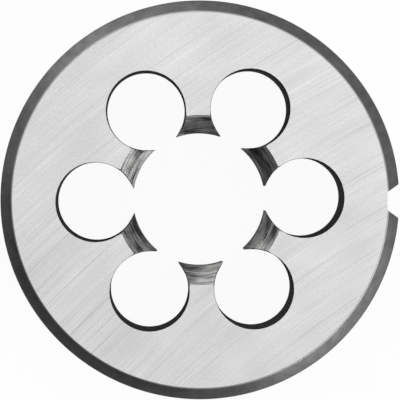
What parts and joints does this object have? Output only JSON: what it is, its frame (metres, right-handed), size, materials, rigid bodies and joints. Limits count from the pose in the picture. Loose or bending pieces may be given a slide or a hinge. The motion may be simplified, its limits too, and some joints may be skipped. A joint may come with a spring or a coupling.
{
  "type": "round threading die",
  "caption": "Solid round die that cuts an outside screw thread on a rod; a ring of chip holes opens into its toothed bore, and a notch marks its rim.",
  "frame": {"origin": "centre of the lower face, on the thread's axis", "axes": "+Z along the thread's axis through the thickness, +X towards the adjusting notch in the rim"},
  "size_m": [0.0449, 0.045, 0.018],
  "materials": {
    "tool_steel": "ground bright faces, dark hardened chamfers, rim and holes"
  },
  "bodies": {
    "root": {"threading_die": "tool_steel"}
  },
  "joints": []
}
